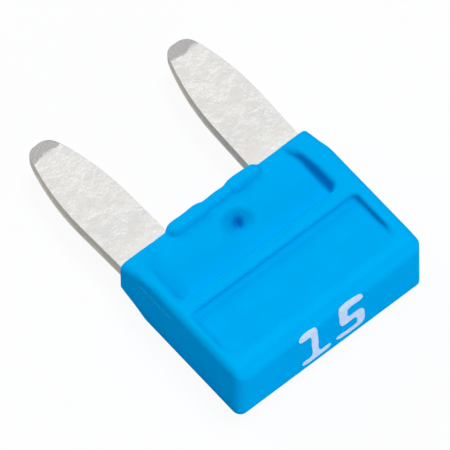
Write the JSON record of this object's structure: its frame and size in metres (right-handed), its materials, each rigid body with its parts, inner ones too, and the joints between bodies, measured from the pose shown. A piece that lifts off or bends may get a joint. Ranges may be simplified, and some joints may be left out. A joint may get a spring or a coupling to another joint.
{
  "type": "automotive blade fuse",
  "caption": "Small plug-in blade fuse: a moulded housing closed round a one-piece stamped element whose flat tapered blades push into a fuse holder.",
  "frame": {"origin": "middle of the housing's blade-side face, at mid thickness", "axes": "+Y along the fuse towards the blade tips, +X across both blades, +Z out of the front face, so the fuse lies on its back"},
  "size_m": [0.0108, 0.0158, 0.0038],
  "materials": {
    "housing_plastic": "satin moulded light blue",
    "plated_strip": "mottled tin plating"
  },
  "bodies": {
    "root": {"housing": "housing_plastic", "fuse_element": "plated_strip"}
  },
  "joints": []
}
